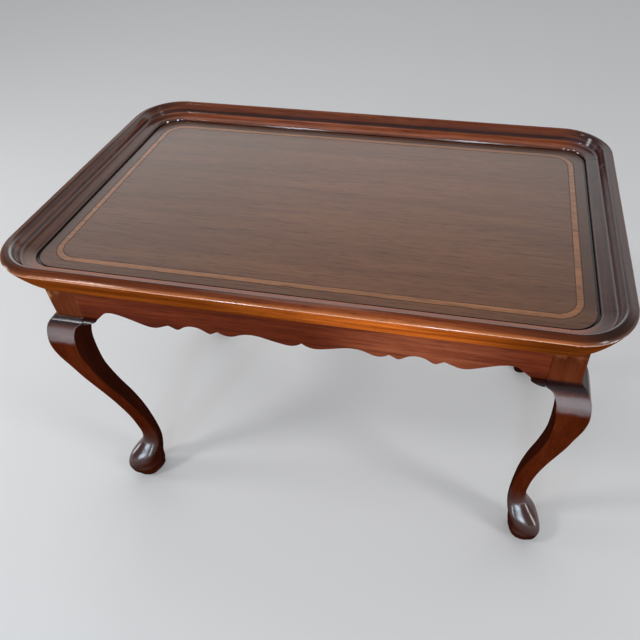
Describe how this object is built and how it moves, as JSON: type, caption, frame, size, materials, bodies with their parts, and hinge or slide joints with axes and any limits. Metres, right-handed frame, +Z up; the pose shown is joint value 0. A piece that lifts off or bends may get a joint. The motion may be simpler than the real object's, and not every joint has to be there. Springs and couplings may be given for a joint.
{
  "type": "side table",
  "caption": "Rectangular tray-top side table with a moulded gallery rim, inlaid panel, scalloped aprons and cabriole legs.",
  "frame": {"origin": "on the floor, at the middle of the table's length and width", "axes": "+X along the length to the right, front facing -Y, +Z up"},
  "size_m": [0.762, 0.472, 0.495],
  "materials": {
    "panel_mahogany": "glossy lacquer",
    "rim_mahogany": "glossy lacquer",
    "apron_mahogany": "glossy lacquer",
    "leg_mahogany": "glossy lacquer",
    "satinwood": "glossy lacquer",
    "dark_line": "glossy lacquer",
    "secondary_wood": "raw planed wood",
    "screw_steel": "plain steel"
  },
  "bodies": {
    "root": {"apron_back": "apron_mahogany", "apron_front": "apron_mahogany", "apron_left": "apron_mahogany", "apron_right": "apron_mahogany", "cleat_back": "secondary_wood", "cleat_front": "secondary_wood", "cleat_left": "secondary_wood", "cleat_right": "secondary_wood", "cleat_screws": "screw_steel", "corner_block_back_left": "secondary_wood", "corner_block_back_right": "secondary_wood", "corner_block_front_left": "secondary_wood", "corner_block_front_right": "secondary_wood", "corner_block_screws": "screw_steel", "inlay_band": "satinwood", "knee_block_back_left_x": "leg_mahogany", "knee_block_back_left_y": "leg_mahogany", "knee_block_back_right_x": "leg_mahogany", "knee_block_back_right_y": "leg_mahogany", "knee_block_front_left_x": "leg_mahogany", "knee_block_front_left_y": "leg_mahogany", "knee_block_front_right_x": "leg_mahogany", "knee_block_front_right_y": "leg_mahogany", "leg_back_left": "leg_mahogany", "leg_back_right": "leg_mahogany", "leg_front_left": "leg_mahogany", "leg_front_right": "leg_mahogany", "rim_back": "rim_mahogany", "rim_corner_back_left": "rim_mahogany", "rim_corner_back_right": "rim_mahogany", "rim_corner_front_left": "rim_mahogany", "rim_corner_front_right": "rim_mahogany", "rim_front": "rim_mahogany", "rim_left": "rim_mahogany", "rim_right": "rim_mahogany", "stringing_inner": "dark_line", "stringing_outer": "dark_line", "tray_panel": "panel_mahogany"}
  },
  "joints": []
}
